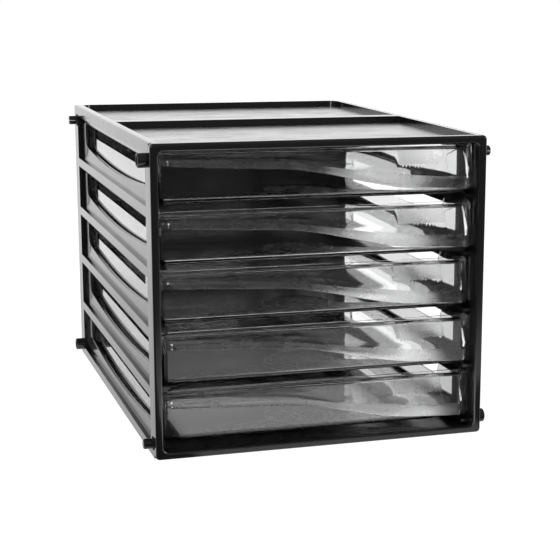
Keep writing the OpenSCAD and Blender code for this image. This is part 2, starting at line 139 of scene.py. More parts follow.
class DrawerLook(bpy.types.PropertyGroup):
    """Sizes and finish of a clear drawer"""
    wall: length("Wall", "Thickness of walls and floor", 2)
    half_width: length("Half width", "Half the width over the side walls", 121.5)
    corner: length("Corner radius", "Radius of the upright corners", 4)
    side_height: length("Side height", "Height of the low side walls", 20.4)
    tall_drop: length("Tall end drop", "Drop from the rim to the tall ends of the side walls", 1.9)
    tall_front: length("Front tall end", "Length of the side wall's tall end at the front", 52)
    tall_back: length("Back tall end", "Length of the side wall's tall end at the back", 42)
    tall_round: length("Tall end radius", "Radius that rounds off a tall end", 12)
    drop_round: length("Fillet", "Radius where a tall end meets the low wall", 3)
    rim: length("Rim radius", "Radius of the rim's edges", 0.7)
    foot: length("Foot radius", "Radius of the outer bottom edge", 1.8)
    ring: length("Ring diameter", "Diameter of the ring on the floor", 53)
    ring_back: length("Ring distance", "Distance of the ring's middle from the front wall", 40)
    ring_left: length("Ring offset", "Distance of the ring's middle from the drawer's middle", 5)
    line: length("Line width", "Width of the raised lines", 0.9)
    clear: colour("Clear", "Tint of the clear plastic", (0.98, 0.982, 0.984))
    haze: share("Haze", "Roughness of the clear plastic", 0.015)
    waves: length("Waves", "Height of the faint waves that the mould leaves", 0.012)
    satin: share("Satin", "Roughness of the lip's lower band", 0.28)


class LipLook(bpy.types.PropertyGroup):
    """Sizes of the lip in front of a drawer's front wall"""
    wall: length("Wall", "Thickness of the lip", 1.8)
    out: length("Depth", "How far the lip stands out in front of the drawer's front wall", 12.2)
    end: length("End radius", "Radius of the lip's ends, seen from above", 10)
    drop: length("Drop", "Drop from the rim to the lip's top", 1.3)
    shoulder: length("Shoulder", "Depth of the ledge on top of the lip", 3.4)
    shoulder_fall: length("Shoulder fall", "Fall of that ledge to the front", 0.9)
    low_left: length("Lower edge", "Drop from the rim to the lower edge at the left end", 10.3)
    low_even: length("Even fall", "Even fall of the lower edge from end to end", 11.7)
    low_curve: length("Curve fall", "Fall of the lower edge in its S curve", 12.6)
    low_from: length("Curve start", "Start of that curve, left of the middle", 31)
    low_width: length("Curve width", "Width of that curve", 106)
    crease_left: length("Crease", "Drop from the rim to the crease at the left end", 5)
    crease_even: length("Crease fall", "Even fall of the crease from end to end", 6.5)
    crease_curve: length("Crease curve fall", "Fall of the crease in its S curve", 12.3)
    crease_from: length("Crease curve start", "Start of that curve, left of the middle", 49)
    crease_width: length("Crease curve width", "Width of that curve", 146)
    top_round: length("Top radius", "Reach of the rounding along the lip's top edge", 0.9)
    crease_round: length("Crease radius", "Reach of the rounding along the crease", 3)
    low_round: length("Lower edge radius", "Reach of the rounding along the lower edge", 0.7)
    inner_round: length("Inner radius", "Reach of the rounding along the hollow's lower edge", 0.2)
    label_left: length("Label start", "Distance of the label frame from the middle", 60)
    label_width: length("Label width", "Width of the label frame", 39)
    label_height: length("Label height", "Height of the label frame", 12.5)
    label_start: length("Label top", "Distance of the label frame from the shoulder", 0.8)
    label_line: length("Label line", "Width of the label frame's lines", 0.6)


# ---------------------------------------------------------------- materials

def fill(tree, sockets, given):
    """Gives each named socket its number or colour, or a link from another socket"""
    for name, value in given.items():
        if isinstance(value, bpy.types.NodeSocket):
            tree.links.new(value, sockets[name])
        else:
            sockets[name].default_value = value


def add_node(tree, kind, given):
    node = tree.nodes.new("ShaderNode" + kind)
    fill(tree, node.inputs, given)
    return node


def noise(tree, scale, detail):
    """Noise on the piece's own coordinates, as the node's output socket"""
    place = add_node(tree, "TexCoord", {}).outputs["Object"]
    return add_node(tree, "TexNoise", {"Vector": place, "Scale": scale, "Detail": detail}).outputs["Fac"]


def ramp(tree, value, start, end, low, high, kind="SMOOTHSTEP"):
    """Turns a socket's value into low up to start and high from end on"""
    given = {"Value": value, "From Min": start, "From Max": end, "To Min": low, "To Max": high}
    node = add_node(tree, "MapRange", given)
    node.interpolation_type = kind
    return node.outputs["Result"]


NOISE_LOW, NOISE_HIGH = 0.3, 0.7


def spread(tree, value, low, high):
    """Spreads a noise value over the range from low to high"""
    return ramp(tree, value, NOISE_LOW, NOISE_HIGH, low, high, "LINEAR")


def bumped(tree, height, distance):
    """The normal of a surface as uneven as a height value"""
    return add_node(tree, "Bump", {"Height": height, "Distance": distance}).outputs["Normal"]


def plastic(name, given):
    """A new material, whose shader gets the sockets that given(tree) makes"""
    material = bpy.data.materials.new(name)
    material.use_nodes = True
    tree = material.node_tree
    fill(tree, tree.nodes["Principled BSDF"].inputs, given(tree))
    return material


def black_plastic(name, look, roughness):
    """Black moulded polystyrene, with a fine orange peel"""
    return plastic(name, lambda tree: {
        "Base Color": (*look.black, 1),
        "IOR": 1.59,
        "Roughness": spread(tree, noise(tree, scale=45, detail=3), roughness * 0.85, roughness * 1.2),
        "Normal": bumped(tree, noise(tree, scale=1400, detail=2), look.peel),
    })


def clear_plastic(name, look, roughness):
    """Clear moulded polystyrene, with faint waves from the mould"""
    return plastic(name, lambda tree: {
        "Base Color": (*look.clear, 1),
        "IOR": 1.55,
        "Transmission Weight": 1,
        "Roughness": spread(tree, noise(tree, scale=60, detail=3), roughness * 0.7, roughness * 1.3),
        "Normal": bumped(tree, noise(tree, scale=26, detail=1), look.waves),
    })


# ---------------------------------------------------------------- mesh helpers

WELD = 0.002 * MM
FLAT = radians(0.3)
SHARP = radians(35)
FACES_SIDE = 0.7         # share of a normal that points sideways on the dished plate
FACES_UP = 0.99          # share of a normal that points up on a level face
FACES_SQUARE = 0.9       # share of a normal that points along an axis on a softly rounded face
MOST = 0.45              # share of a line that the rounding at one of its ends may take
ALMOST = 0.98            # share of a radius that keeps a rounding from closing up
HAIR = 0.2 * MM          # a gap too small to be seen


def move(bm, verts, offset):
    bmesh.ops.translate(bm, verts=verts, vec=Vector(offset))


def bevel(bm, edges, radius, segments):
    return bmesh.ops.bevel(bm, geom=edges, affect="EDGES", offset=radius, offset_type="OFFSET",
                           segments=segments, profile=0.5, material=-1, clamp_overlap=True)


def round_corners(bm, verts, radius, segments):
    bmesh.ops.bevel(bm, geom=verts, affect="VERTICES", offset=radius, offset_type="OFFSET",
                    segments=segments, profile=0.5, material=-1)


def round_plate(bm, width, depth, corner, segments, middle=(0, 0, 0)):
    """Adds one flat face with round corners in the x-y plane and returns it"""
    made = bmesh.ops.create_grid(bm, x_segments=1, y_segments=1, size=0.5)["verts"]
    bmesh.ops.scale(bm, vec=(width, depth, 1), verts=made)
    move(bm, made, middle)
    round_corners(bm, made, corner, segments)
    bm.faces.ensure_lookup_table()
    return bm.faces[-1]


def raise_faces(bm, faces, offset):
    """Extrudes faces by an offset and returns the new faces"""
    new = bmesh.ops.extrude_face_region(bm, geom=faces)["geom"]
    move(bm, [v for v in new if isinstance(v, bmesh.types.BMVert)], offset)
    return [f for f in new if isinstance(f, bmesh.types.BMFace)]


def wrap_grid(bm, stations, section):
    """Wraps a grid round closed sections: section(x) is a list of (y, z) at each station x"""
    rows = [section(x) for x in stations]
    nx, ny = len(stations) - 1, len(rows[0])
    bmesh.ops.create_grid(bm, x_segments=nx, y_segments=ny, size=0.5)
    for v in bm.verts:
        i = round((v.co.x + 0.5) * nx)
        j = round((v.co.y + 0.5) * ny)
        v.co = (stations[i], *rows[i][j % ny])


def weld(bm):
    bmesh.ops.remove_doubles(bm, verts=bm.verts, dist=WELD)


def turn_outwards(bm):
    bmesh.ops.recalc_face_normals(bm, faces=bm.faces)


def stand_up(bm):
    """Turns what lies in the x-y plane until its upper side faces the front"""
    bmesh.ops.rotate(bm, matrix=Matrix.Rotation(pi / 2, 3, "X"), verts=bm.verts)


def opened(mesh):
    """A mesh as a bmesh, with its doubled points merged"""
    bm = bmesh.new()
    bm.from_mesh(mesh)
    weld(bm)
    return bm


def put_back(bm, mesh):
    bm.to_mesh(mesh)
    bm.free()


def as_object(bm, name, *materials):
    mesh = bpy.data.meshes.new(name)
    put_back(bm, mesh)
    piece = bpy.data.objects.new(name, mesh)
    for material in materials:
        mesh.materials.append(material)
    bpy.context.scene.collection.objects.link(piece)
    return piece


def box(name, low, high):
    """A block between two corners"""
    bm = bmesh.new()
    bmesh.ops.create_cube(bm, size=1)
    low, high = Vector(low), Vector(high)
    bmesh.ops.scale(bm, vec=high - low, verts=bm.verts)
    move(bm, bm.verts, (low + high) / 2)
    return as_object(bm, name)


def prism(name, points, offset, roundings=(), segments=1):
    """An outline run along an offset; each rounding is the places of its points and their radius"""
    bm = bmesh.new()
    verts = [bm.verts.new(point) for point in points]
    bm.faces.new(verts)
    for places, radius in roundings:
        round_corners(bm, [verts[i] for i in places], radius, segments)
    raise_faces(bm, bm.faces[:], offset)
    turn_outwards(bm)
    return as_object(bm, name)


def rod(name, diameter, start, end, chamfer=0):
    """A round bar from start to end, with a chamfer round its end"""
    bm = bmesh.new()
    start, end = Vector(start), Vector(end)
    turn = (end - start).to_track_quat("Z", "Y").to_matrix().to_4x4()
    bmesh.ops.create_cone(bm, cap_ends=True, segments=40, radius1=diameter / 2, radius2=diameter / 2,
                          depth=(end - start).length, matrix=Matrix.Translation((start + end) / 2) @ turn)
    if chamfer:
        tip = [e for e in bm.edges if all((v.co - end).length < diameter * 0.6 for v in e.verts)]
        bevel(bm, tip, chamfer, 1)
    return as_object(bm, name)


def combine(base, operation, *others):
    """Joins other solids to the base or cuts them out of it, and removes them"""
    for other in others:
        change = base.modifiers.new(operation, "BOOLEAN")
        change.operation = operation
        change.solver = "EXACT"
        change.object = other
    seen = base.evaluated_get(bpy.context.evaluated_depsgraph_get())
    mesh = bpy.data.meshes.new_from_object(seen)
    old = base.data
    base.modifiers.clear()
    base.data = mesh
    bpy.data.meshes.remove(old)
    for other in others:
        bpy.data.meshes.remove(other.data)


def flatten(bm):
    """Joins the triangles of each flat face"""
    bmesh.ops.dissolve_limit(bm, angle_limit=FLAT, verts=bm.verts, edges=bm.edges, delimit={"MATERIAL"})


def sharp_edges(bm):
    return [e for e in bm.edges if e.is_manifold and e.calc_face_angle() > SHARP]


def shade(piece):
    """Smooth shading that keeps flat faces flat"""
    for polygon in piece.data.polygons:
        polygon.use_smooth = True
    weighted = piece.modifiers.new("Flat faces", "WEIGHTED_NORMAL")
    weighted.weight = 100
    weighted.keep_sharp = True


def settle(piece, node):
    """Puts a piece in its CAD node's place on the same body"""
    shade(piece)
    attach(piece, BODY_OF[node])
    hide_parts(node)


# ---------------------------------------------------------------- cabinet

def moulded_copy(node, radius, material):
    """A copy of a CAD node with moulded edges"""
    bm = opened(frame["nodes"][node].data)
    flatten(bm)
    bevel(bm, sharp_edges(bm), radius, 2)
    piece = as_object(bm, "moulded_" + node, material)
    settle(piece, node)
    return piece


def moulded(piece, node, radius, material, change=None):
    """Rounds a modelled panel's edges and settles it in its node's place"""
    bm = opened(piece.data)
    bevel(bm, sharp_edges(bm), radius, 2)
    if change:
        change(bm)
    put_back(bm, piece.data)
    piece.name = "moulded_" + node
    piece.data.materials.clear()
    piece.data.materials.append(material)
    settle(piece, node)


def smooth(t):
    t = min(max(t, 0), 1)
    return t * t * (3 - 2 * t)


def quick(t):
    """Rises fast at first and levels out at 1"""
    t = min(max(t, 0), 1)
    return 1 - (1 - t) ** 2


class Side:
    """The left side panel; the right one is its mirror image with the sockets at the other corners"""
    ARC = 8
    SILL_STEPS = 40
    DISH_LEVELS = 14
    BAYS = 5
    OVER = 1 * MM

    def __init__(self, look, node):
        self.look = look
        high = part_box("front_frame")[1]
        self.front = high.y
        self.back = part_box(node)[1].y
        self.half = high.x
        self.height = high.z
        self.plate_out = self.half - look.proud
        self.plate_in = self.plate_out - look.plate
        self.roof_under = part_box("top_panel")[0].z
        self.inside_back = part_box("back_panel")[1].y

    def rib_top(self, bay):
        return self.look.base + self.look.pitch * (self.BAYS - bay)

    def comb(self):
        """Section of base band, plate, ribs and top band, seen from the front"""
        s = self.look
        points = [(-self.half, 0), (-self.half, s.base), (-self.plate_out, s.base)]
        for bay in range(self.BAYS - 1, 0, -1):
            top = self.rib_top(bay)
            points += [(-self.plate_out, top - s.rib), (-self.half, top - s.rib), (-self.half, top),
                       (-self.plate_out, top)]
        low = self.height - s.top_band
        points += [(-self.plate_out, low), (-self.half, low)]
        r = s.top_round
        for i in range(self.ARC + 1):
            a = pi / 2 * i / self.ARC
            points.append((r - self.half - r * cos(a), self.height - r + r * sin(a)))
        points += [(s.top_edge - self.half, self.height), (s.top_edge - self.half, self.roof_under),
                   (-self.plate_in, self.roof_under), (-self.plate_in, 0)]
        return points

    def window(self, bay):
        """What is cut out for a window: curved sill, a large lower back corner and small other ones"""
        s = self.look
        base = self.rib_top(bay)
        front, back = self.front + s.window_end, self.back - s.window_end
        middle, reach = (front + back) / 2, (back - front) / 2
        radius = (reach ** 2 + s.sill_rise ** 2) / (2 * s.sill_rise)
        inner = reach - s.window_corner

        def sill(y):
            return s.sill + radius - sqrt(radius ** 2 - (y - middle) ** 2)

        outline = [(front, s.window_top), (front, sill(middle - inner))]
        for i in range(self.SILL_STEPS + 1):
            y = middle - inner + 2 * inner * i / self.SILL_STEPS
            outline.append((y, sill(y)))
        outline += [(back, sill(middle + inner)), (back, s.window_top)]
        points = [(-self.half - self.OVER, y, base + z) for y, z in outline]
        roundings = (((-2,), s.window_corner * ALMOST), ((0, 1, -1), s.window_round))
        return prism("window", points, (s.proud + s.plate + 2 * self.OVER, 0, 0), roundings, self.ARC)

    def ledge(self, node):
        """The ledge that carries a drawer, just under it"""
        s = self.look
        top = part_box(node)[0].z - s.ledge_gap
        low = (-self.plate_in - s.plate / 2, self.front + s.ledge_front, top - s.ledge_height)
        high = (s.ledge - self.plate_in, self.inside_back - 2 * s.plate, top)
        return box("ledge", low, high)

    def corners(self, high_first):
        """Two link corners: the front one high or low, the back one the other way"""
        inset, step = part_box("left_front_link_pin"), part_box("left_back_link_pin")
        front, low = (inset[0].y + inset[1].y) / 2, (inset[0].z + inset[1].z) / 2
        back, high = (step[0].y + step[1].y) / 2, (step[0].z + step[1].z) / 2
        return ((front, high), (back, low)) if high_first else ((front, low), (back, high))

    def solid(self, high_sockets):
        """The panel with its strips, ledges, sockets, holes and windows"""
        s = self.look
        panel = prism("side", [(x, self.front, z) for x, z in self.comb()], (0, self.back - self.front, 0))
        strip_top = self.height - s.top_band + self.OVER
        inner = s.plate / 2 - self.plate_out
        strips = [
            box("strip", (-self.half, self.front, 0), (inner, self.front + s.front_strip, strip_top)),
            box("strip", (-self.half, self.back - s.back_strip, 0), (inner, self.back, strip_top)),
        ]
        out = self.half + s.socket_out

        def rods(name, diameter, start, end, high_first, chamfer=0):
            return [rod(name, diameter, (start, y, z), (end, y, z), chamfer)
                    for y, z in self.corners(high_first)]

        sockets = rods("socket", s.socket, -self.plate_out, -out, high_sockets, s.socket_chamfer)
        combine(panel, "UNION", *strips, *sockets, *[self.ledge(node) for node in DRAWERS])
        bores = rods("bore", s.bore, s.bore_deep - out, -out - self.OVER, high_sockets)
        holes = rods("hole", s.root, s.root_deep - self.half, -self.half - self.OVER, not high_sockets)
        combine(panel, "DIFFERENCE", *bores, *holes, *[self.window(bay + 1) for bay in range(self.BAYS)])
        bm = opened(panel.data)
        bevel(bm, [e for e in sharp_edges(bm) if self.back_edge(e)], s.back_round, 6)
        bevel(bm, [e for e in sharp_edges(bm) if self.round_window(e)], s.window_edge, 3)
        put_back(bm, panel.data)
        return panel

    def back_edge(self, edge):
        """Whether an edge is the panel's upright outer back edge"""
        return all(abs(v.co.x + self.half) < WELD and abs(v.co.y - self.back) < WELD for v in edge.verts)

    def round_window(self, edge):
        """Whether an edge lies round a window on the plate's outer face"""
        s = self.look
        for v in edge.verts:
            up = (v.co.z - s.base) % s.pitch
            if abs(v.co.x + self.plate_out) > WELD or not s.sill - MM < up < s.window_top + MM:
                return False
            if not self.front + s.window_end - MM < v.co.y < self.back - s.window_end + MM:
                return False
        return True

    def dish(self, bm):
        """Dishes the plate inwards round each window, fading out at its ends and above it"""
        s = self.look
        bay_height = s.pitch - s.rib
        ends = [self.front + s.front_strip, self.front + s.window_end + s.dish_past]
        backs = [self.back - s.window_end - s.dish_past, self.back - s.back_strip]
        cuts = []
        for bay in range(1, self.BAYS + 1):
            for i in range(1, self.DISH_LEVELS):
                z = self.rib_top(bay) + bay_height * i / self.DISH_LEVELS
                cuts.append(((0, 0, z), (0, 0, 1)))
        for a, b in (ends, backs):
            for i in range(1, self.DISH_LEVELS):
                cuts.append(((0, a + (b - a) * i / self.DISH_LEVELS, 0), (0, 1, 0)))
        for place, normal in cuts:
            bmesh.ops.bisect_plane(bm, geom=bm.verts[:] + bm.edges[:] + bm.faces[:], plane_co=place,
                                   plane_no=normal, dist=WELD)
        lean_top = s.sill + s.sill_rise
        for v in bm.verts:
            x = abs(v.co.x)
            in_plate = self.plate_in - WELD < x < self.plate_out + WELD
            up = (v.co.z - s.base) % s.pitch
            if in_plate and v.co.z > s.base and up < bay_height:
                rise = quick(up / lean_top) * smooth((bay_height - up) / (bay_height - s.window_top))
                along = smooth((v.co.y - ends[0]) / (ends[1] - ends[0])) * \
                    smooth((backs[1] - v.co.y) / (backs[1] - backs[0]))
                v.co.x += s.dish * rise * along
        bm.normal_update()
        for f in bm.faces:
            out = -f.calc_center_median().x
            if abs(f.normal.x) > FACES_SIDE and self.plate_in + s.plate / 2 < out < self.plate_out + WELD:
                f.material_index = 1


class TOWER_OT_side_panels(bpy.types.Operator):
    """Model the side panels with their windows, ribs and link sockets"""
    bl_idname = "tower.side_panels"
    bl_label = "Side panels"

    def execute(self, context):
        look = context.scene.tower_cabinet
        moulding = bpy.data.materials["black_moulding"]
        sides = (("left_side_panel", True, False), ("right_side_panel", False, True))
        for node, high_sockets, mirrored in sides:
            side = Side(look, node)

            def change(bm):
                side.dish(bm)
                if mirrored:
                    bmesh.ops.scale(bm, vec=(-1, 1, 1), verts=bm.verts)
                    bmesh.ops.reverse_faces(bm, faces=bm.faces)

            panel = side.solid(high_sockets)
            moulded(panel, node, look.edge, moulding, change)
            panel.data.materials.append(bpy.data.materials["dull_moulding"])
        return {"FINISHED"}


class TOWER_OT_flat_panels(bpy.types.Operator):
    """Model the top, bottom and back panels"""
    bl_idname = "tower.flat_panels"
    bl_label = "Top, bottom and back panels"

    def execute(self, context):
        look = context.scene.tower_cabinet
        moulding = black_plastic("black_moulding", look, look.gloss)
        grained = black_plastic("top_floor", look, look.grain)
        black_plastic("dull_moulding", look, look.matt)
        top = moulded_copy("top_panel", look.edge, moulding)
        top.data.materials.append(grained)
        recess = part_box("top_panel")[1].z - look.recess / 2
        for polygon in top.data.polygons:
            if polygon.normal.z > FACES_UP and polygon.center.z < recess:
                polygon.material_index = 1
        moulded_copy("bottom_panel", look.edge, moulding)
        low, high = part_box("back_panel")
        panel = box("back", low, high)
        bm = bmesh.new()
        width, tall = high.x - low.x, high.z - low.z
        round_plate(bm, width - 2 * look.field_margin, tall - 2 * look.field_margin, look.recess_round, 8)
        raise_faces(bm, bm.faces[:], (0, 0, look.field_depth + MM))
        turn_outwards(bm)
        stand_up(bm)
        move(bm, bm.verts, (0, high.y + MM, (low.z + high.z) / 2))
        combine(panel, "DIFFERENCE", as_object(bm, "field"))
        moulded(panel, "back_panel", look.edge, moulding)
        return {"FINISHED"}


class TOWER_OT_front_frame(bpy.types.Operator):
    """Model the front frame with its rounded edges"""
    bl_idname = "tower.front_frame"
    bl_label = "Front frame"

    def execute(self, context):
        look = context.scene.tower_cabinet
        low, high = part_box("front_frame")
        depth = high.y - low.y
        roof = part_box("top_panel")[0].z + HAIR
        width = 2 * (high.x - look.proud - look.plate)
        bm = bmesh.new()
        plate = round_plate(bm, high.x - low.x, high.z, look.frame_round, 8, (0, high.z / 2, 0))
        middle = (0, (roof + look.rail) / 2, 0)
        hole = round_plate(bm, width, roof - look.rail, look.opening_round, 8, middle)
        bmesh.ops.delete(bm, geom=[plate, hole], context="FACES_ONLY")
        bmesh.ops.bridge_loops(bm, edges=bm.edges[:])
        raise_faces(bm, bm.faces[:], (0, 0, depth))
        turn_outwards(bm)
        front = [e for e in sharp_edges(bm) if min(v.co.z for v in e.verts) > depth / 2]
        bevel(bm, front, look.frame_edge, 4)
        bevel(bm, [e for e in sharp_edges(bm) if max(v.co.z for v in e.verts) < depth / 2], look.edge, 2)
        stand_up(bm)
        move(bm, bm.verts, (0, high.y, 0))
        piece = as_object(bm, "moulded_front_frame", bpy.data.materials["black_moulding"])
        settle(piece, "front_frame")
        return {"FINISHED"}


class TOWER_OT_link_pins(bpy.types.Operator):
    """Model the split pins that link towers side by side"""
    bl_idname = "tower.link_pins"
    bl_label = "Link pins"

    def execute(self, context):
        look = context.scene.tower_cabinet
        for node in LINK_PINS:
            low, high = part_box(node)
            middle = (low + high) / 2
            side = 1 if middle.x > 0 else -1
            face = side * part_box("front_frame")[1].x
            tip = side * max(abs(low.x), abs(high.x))
            root = side * min(abs(low.x), abs(high.x))

            def bar(name, diameter, start, end, chamfer=0):
                return rod(name, diameter, (start, middle.y, middle.z), (end, middle.y, middle.z), chamfer)

            pin = bar("pin", look.pin, face - side * MM / 2, tip, look.pin_chamfer)
            collar = bar("collar", look.collar, face, face + side * look.collar_height, look.edge)
            combine(pin, "UNION", collar, bar("root", look.pin_root, root, face))
            reach = look.collar
            start = face + side * look.collar_height
            xs = sorted((start, tip + side * MM))
            slot = box("slot", (xs[0], middle.y - reach, middle.z - look.slot / 2),
                       (xs[1], middle.y + reach, middle.z + look.slot / 2))
            combine(pin, "DIFFERENCE", slot)
            moulded(pin, node, look.edge / 4, bpy.data.materials["black_moulding"])
        return {"FINISHED"}


# ---------------------------------------------------------------- drawers

def soften(points, radii, segments):
    """A chain of (y, z) points whose inner points are rounded off"""
    chain = [points[0]]
    for before, at, after, r in zip(points, points[1:], points[2:], radii):
        at = Vector(at)
        to_before = Vector(before) - at
        to_after = Vector(after) - at
        reach = min(r, to_before.length * MOST, to_after.length * MOST)
        a = at + to_before.normalized() * reach
        b = at + to_after.normalized() * reach
        for i in range(segments + 1):
            t = i / segments
            chain.append(tuple(a * (1 - t) ** 2 + at * 2 * t * (1 - t) + b * t * t))
    chain.append(points[-1])
    return chain


class Lip:
    """The lip, with x from the drawer's middle, y from its front wall and z from its rim"""
    SEGMENTS = 5
    STEPS = 90
    END_STEPS = 10
    BITE = 0.6 * MM

    def __init__(self, look, half, out, wall_half, corner):
        self.look = look
        self.half = half
        self.out = out
        self.wall_half = wall_half
        self.corner = corner

    def fall(self, x, left, even, curve, start, width):
        """Height of a line that falls evenly from end to end, and once more in an S curve"""
        return -left - even * ((x + self.half) / (2 * self.half)) - curve * smooth((x + start) / width)

    def low(self, x):
        s = self.look
        return self.fall(x, s.low_left, s.low_even, s.low_curve, s.low_from, s.low_width)

    def crease(self, x):
        s = self.look
        return self.fall(x, s.crease_left, s.crease_even, s.crease_curve, s.crease_from, s.crease_width)

    def stations(self, half, end):
        """Places along x, closer together in the rounded ends"""
        turn = [end * (1 - cos(radians(90) * i / self.END_STEPS)) for i in range(self.END_STEPS + 1)]
        run = 2 * (half - end)
        middle = [end - half + run * i / self.STEPS for i in range(1, self.STEPS)]
        return [t - half for t in turn] + middle + [half - t for t in reversed(turn)]

    def reach(self, x, out, half, end):
        """How far the lip stands out at x"""
        d = max(0, abs(x) - half + end) / end
        return out - end * (1 - sqrt(max(0, 1 - d * d)))

    def wall_face(self, x):
        """Where the drawer's front wall lies behind the lip: it curves back at the drawer's corners"""
        r = self.corner
        d = min(max(0, abs(x) - self.wall_half + r), r * ALMOST)
        return r - sqrt(r * r - d * d)

    def section(self, x, wall, back, crease, low, foot_round):
        """The closed section at x of the face that lies a wall inside the lip's outer one"""
        s = self.look
        out = self.reach(x, self.out - wall, self.half - wall, s.end - wall)
        near = out / self.out
        top = -s.drop - wall
        corners = [(back, top), (-s.shoulder * near, top - s.shoulder_fall * near), (-out, crease),
                   (-out, low), (back, low)]
        return soften(corners, (s.top_round, s.crease_round, foot_round), self.SEGMENTS)

    def outer(self, x):
        back = self.wall_face(x) + self.BITE
        return self.section(x, 0, back, self.crease(x), self.low(x), self.look.low_round)

    def inner(self, x):
        s = self.look
        back = self.wall_face(x) + self.BITE / 2
        return self.section(x, s.wall, back, self.crease(x) - s.wall / 4, self.low(x) - MM, s.inner_round)

    def slope(self, x, down):
        """A point on the outer slope, and the slope's direction down and its normal"""
        s = self.look
        top = Vector((x, -s.shoulder, -s.drop - s.shoulder_fall))
        foot = Vector((x, -self.out, self.crease(x)))
        along = (foot - top).normalized()
        normal = Vector((0, along.z, -along.y))
        return top + along * down, along, normal


def wrapped_solid(name, stations, section, *materials):
    bm = bmesh.new()
    wrap_grid(bm, stations, section)
    weld(bm)
    bmesh.ops.holes_fill(bm, edges=[e for e in bm.edges if e.is_boundary], sides=0)
    turn_outwards(bm)
    return as_object(bm, name, *materials)


def satin_band(piece, lip):
    """Gives the lip's upright band below the crease its satin finish"""
    for polygon in piece.data.polygons:
        c = polygon.center
        in_front = c.y < -lip.out + 0.15 * MM and abs(polygon.normal.y) > FACES_SQUARE
        below = c.z < lip.crease(c.x)
        if in_front and below:
            polygon.material_index = 1


def label_frame(lip, *materials):
    """The three raised lines on the lip's slope that a label slides between"""
    s = lip.look
    line = s.label_line
    bm = bmesh.new()
    bmesh.ops.create_grid(bm, x_segments=12, y_segments=1, size=0.5)
    bmesh.ops.inset_region(bm, faces=bm.faces[:], thickness=line / s.label_width, use_even_offset=False)
    middle = [f for f in bm.faces if max(abs(v.co.x) for v in f.verts) < 0.5 and
              max(abs(v.co.y) for v in f.verts) < 0.5]
    bmesh.ops.delete(bm, geom=middle, context="FACES")
    upper = [f for f in bm.faces if min(v.co.y for v in f.verts) > 0.2]
    bmesh.ops.delete(bm, geom=upper, context="FACES")
    for v in bm.verts:
        near_foot = v.co.y < -0.3 and v.co.y > -0.5 + 1e-6
        along = -0.5 + line / s.label_height if near_foot else v.co.y
        across = s.label_left + s.label_width * (min(max(v.co.x, -0.5), 0.5) + 0.5)
        place, _, normal = lip.slope(across, s.label_start + s.label_height * (0.5 - along))
        v.co = place - normal * line * 0.5
    _, _, normal = lip.slope(s.label_left + s.label_width / 2, 0)
    raise_faces(bm, bm.faces[:], normal * line * 0.95)
    turn_outwards(bm)
    for f in bm.faces:
        f.material_index = 1
    return as_object(bm, "label_frame", *materials)


def floor_ring(look):
    """The ring raised on the drawer's floor"""
    bm = bmesh.new()
    half = look.line / 2
    radius = look.ring / 2
    profile = [(-half, -half), (-half * 0.7, half * 0.5), (0, half * 0.75), (half * 0.7, half * 0.5),
               (half, -half)]
    verts = [bm.verts.new((radius + across, 0, up)) for across, up in profile]
    edges = [bm.edges.new(pair) for pair in zip(verts, verts[1:] + verts[:1])]
    bmesh.ops.spin(bm, geom=verts + edges, cent=(0, 0, 0), axis=(0, 0, 1), angle=2 * pi, steps=96,
                   use_merge=True)
    turn_outwards(bm)
    move(bm, bm.verts, (-look.ring_left, look.ring_back, look.wall))
    return as_object(bm, "floor_ring")


def side_cutter(look, length_y, height):
    """What is cut away above the low side walls"""
    tall = height - look.tall_drop
    over = 5 * MM
    back = length_y - look.tall_back
    outline = [
        (look.corner, tall), (look.tall_front, tall), (look.tall_front, look.side_height),
        (back, look.side_height), (back, tall), (length_y - look.corner, tall),
        (length_y - look.corner, height + over), (look.corner, height + over),
    ]
    reach = look.half_width + over
    points = [(-reach, y, z) for y, z in outline]
    roundings = (((1, 4), look.tall_round), ((2, 3), look.drop_round))
    return prism("side_cutter", points, (2 * reach, 0, 0), roundings, 10)


def drawer_tray(look, length_y, height, *materials):
    """The drawer's walls and floor, with its front face at y = 0 and its underside at z = 0"""
    bm = bmesh.new()
    round_plate(bm, 2 * look.half_width, length_y, look.corner, 10)
    move(bm, bm.verts, (0, length_y / 2, 0))
    top = raise_faces(bm, bm.faces[:], (0, 0, height))
    bmesh.ops.inset_region(bm, faces=top, thickness=look.wall, use_even_offset=True)
    raise_faces(bm, top, (0, 0, look.wall - height))
    bmesh.ops.delete(bm, geom=top, context="FACES_ONLY")
    turn_outwards(bm)
    foot = [e for e in bm.edges if all(abs(v.co.z) < WELD for v in e.verts)]
    bevel(bm, foot, look.foot, 4)
    floor = [e for e in bm.edges if all(abs(v.co.z - look.wall) < WELD for v in e.verts)]
    bevel(bm, floor, look.foot * 1.5, 4)
    return as_object(bm, "drawer_tray", *materials)


